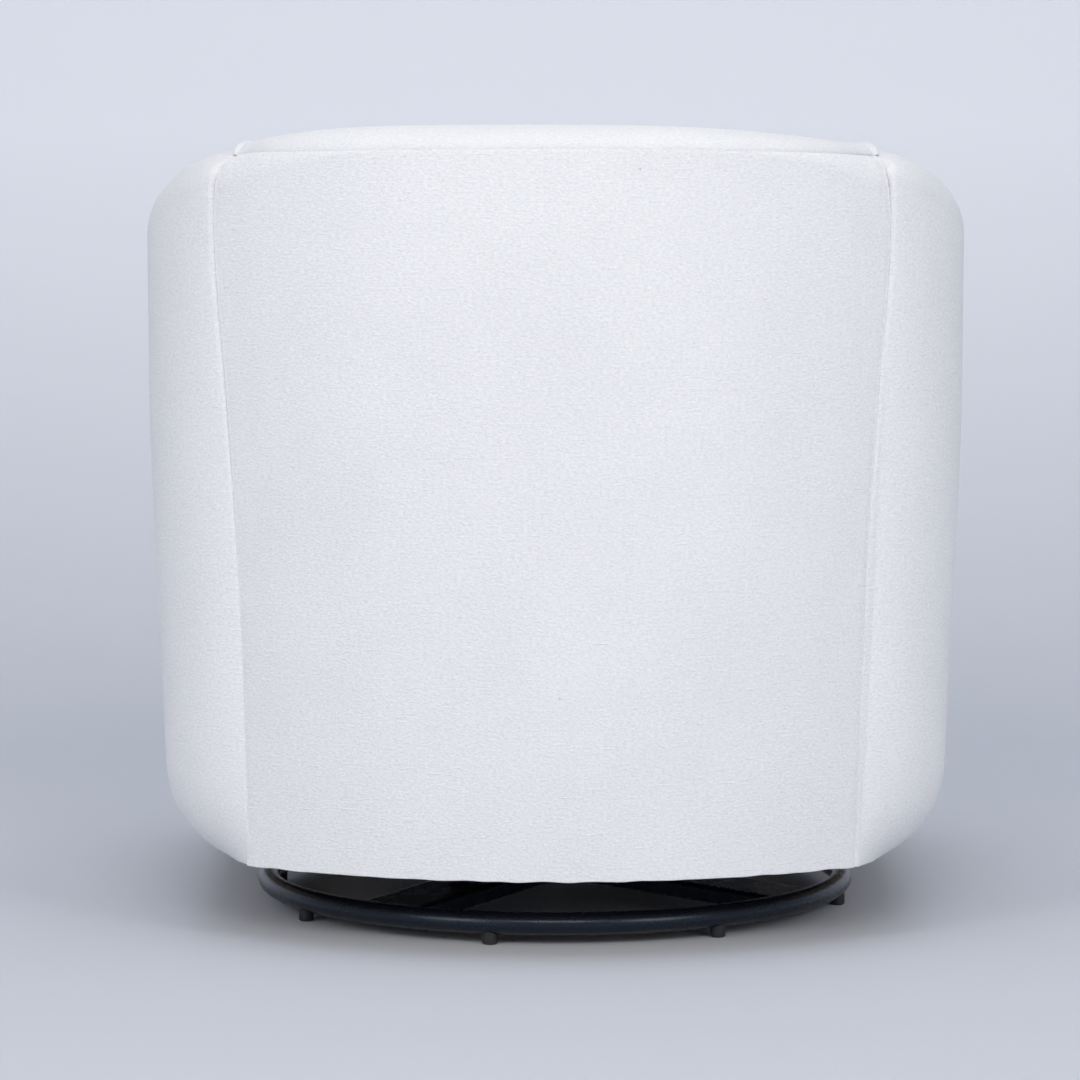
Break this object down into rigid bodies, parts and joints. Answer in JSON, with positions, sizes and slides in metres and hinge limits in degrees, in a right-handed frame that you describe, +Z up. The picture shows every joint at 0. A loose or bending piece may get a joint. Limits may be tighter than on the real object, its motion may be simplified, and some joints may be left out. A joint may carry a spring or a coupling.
{
  "type": "swivel glider chair",
  "caption": "Upholstered tub armchair that glides on swing links and turns on a swivel over a black tubular floor ring.",
  "frame": {"origin": "on the floor, under the swivel axis and the middle of the chair's box", "axes": "+Z up along the swivel axis, -Y towards the front of the seat, +X to the sitter's left"},
  "size_m": [0.798, 0.84, 0.787],
  "materials": {
    "woven_cloth": "off-white slubbed plain weave",
    "frame_timber": "bare plywood",
    "black_powder_coat": "satin black powder coat",
    "zinc_steel": "bright zinc plate",
    "glide_nylon": "moulded black nylon",
    "stop_rubber": "matt black",
    "bush_nylon": "natural nylon",
    "elastic_webbing": "woven elastic strap",
    "deck_cloth": "black non-woven cloth"
  },
  "bodies": {
    "base": {"base_ring": "black_powder_coat", "base_arms": "black_powder_coat", "foot_glides": "glide_nylon", "hub_plate": "black_powder_coat", "hub_bolts": "zinc_steel", "bearing_lower_plate": "zinc_steel", "bearing_balls": "zinc_steel"},
    "swivel_frame": {"bearing_upper_plate": "zinc_steel", "swivel_pin": "zinc_steel", "frame_crossbar_front": "black_powder_coat", "frame_crossbar_rear": "black_powder_coat", "frame_bolts": "zinc_steel", "hanger_plate_left": "black_powder_coat", "hanger_plate_right": "black_powder_coat", "upper_pivot_pins": "zinc_steel", "stop_bumpers": "stop_rubber"},
    "front_links": {"front_link_left": "black_powder_coat", "front_link_right": "black_powder_coat", "front_link_bushes": "bush_nylon"},
    "rear_links": {"rear_link_left": "black_powder_coat", "rear_link_right": "black_powder_coat", "rear_link_bushes": "bush_nylon"},
    "seat": {"arm_cover_left": "woven_cloth", "arm_cover_right": "woven_cloth", "arm_front_left": "woven_cloth", "arm_front_right": "woven_cloth", "inside_back": "woven_cloth", "outside_back": "woven_cloth", "front_cover": "woven_cloth", "seat_cushion": "woven_cloth", "seat_front_rail": "frame_timber", "seat_back_rail": "frame_timber", "seat_side_rail_left": "frame_timber", "seat_side_rail_right": "frame_timber", "corner_blocks": "frame_timber", "bottom_rail_left": "frame_timber", "bottom_rail_right": "frame_timber", "bottom_rail_back": "frame_timber", "arm_rail_left": "frame_timber", "arm_rail_right": "frame_timber", "frame_posts": "frame_timber", "back_top_rail": "frame_timber", "carrier_left": "black_powder_coat", "carrier_right": "black_powder_coat", "lower_pivot_pins": "zinc_steel", "carrier_screws": "zinc_steel", "seat_webbing_long": "elastic_webbing", "seat_webbing_cross": "elastic_webbing", "back_webbing": "elastic_webbing", "deck_pad": "deck_cloth", "dust_cover": "deck_cloth"}
  },
  "joints": [
    {"name": "swivel", "type": "hinge", "parent": "base", "child": "swivel_frame", "pos_m": [0, 0, 0.0485], "axis": [0, 0, 1], "continuous": true},
    {"name": "glide", "type": "hinge", "parent": "swivel_frame", "child": "front_links", "pos_m": [0, -0.15, 0.205], "axis": [1, 0, 0], "range_deg": [-22, 22]},
    {"name": "rear_swing", "type": "hinge", "parent": "swivel_frame", "child": "rear_links", "pos_m": [0, 0.15, 0.205], "axis": [1, 0, 0], "range_deg": [-22, 22]},
    {"name": "seat_level", "type": "hinge", "parent": "front_links", "child": "seat", "pos_m": [0, -0.15, 0.1], "axis": [1, 0, 0], "range_deg": [-22, 22]}
  ],
  "couplings": [
    {"joint": "rear_swing", "follows": "glide", "ratio": 1},
    {"joint": "seat_level", "follows": "glide", "ratio": -1}
  ]
}
